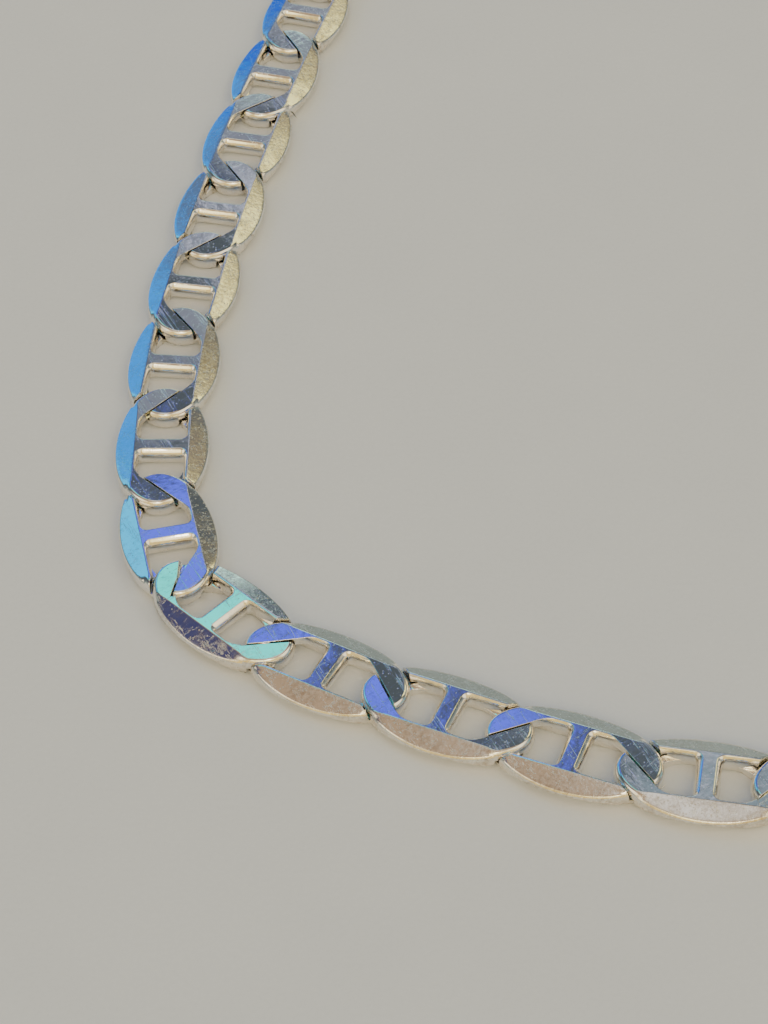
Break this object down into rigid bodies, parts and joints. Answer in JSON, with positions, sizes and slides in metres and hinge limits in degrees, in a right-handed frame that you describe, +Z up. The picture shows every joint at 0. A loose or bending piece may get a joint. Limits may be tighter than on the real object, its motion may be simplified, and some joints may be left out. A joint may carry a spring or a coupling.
{
  "type": "mariner link neck chain",
  "caption": "Flat mariner link neck chain: a closed loop of oval links with a bar across each, lying on its back faces, with a plain clasp.",
  "frame": {"origin": "middle of the loop's bounding box, on the surface that the chain lies on", "axes": "+Z up, at right angles to the flat faces of the links; +Y away from the sharp bend of the loop, +X to the clasp's side"},
  "size_m": [0.1254, 0.17, 0.0017],
  "materials": {
    "silver": "polished sterling silver, fine scratches on the bevels"
  },
  "bodies": {
    "root": {"link_01": "silver", "link_02": "silver", "link_03": "silver", "link_04": "silver", "link_05": "silver", "link_06": "silver", "link_07": "silver", "link_08": "silver", "link_09": "silver", "link_10": "silver", "link_11": "silver", "link_12": "silver", "link_13": "silver", "link_14": "silver", "link_15": "silver", "link_16": "silver", "link_17": "silver", "link_18": "silver", "link_19": "silver", "link_20": "silver", "link_21": "silver", "link_22": "silver", "link_23": "silver", "link_24": "silver", "link_25": "silver", "link_26": "silver", "link_27": "silver", "link_28": "silver", "link_29": "silver", "link_30": "silver", "link_31": "silver", "link_32": "silver", "link_33": "silver", "link_34": "silver", "link_35": "silver", "link_36": "silver", "link_37": "silver", "link_38": "silver", "link_39": "silver", "link_40": "silver", "link_41": "silver", "link_42": "silver", "clasp": "silver"}
  },
  "joints": []
}
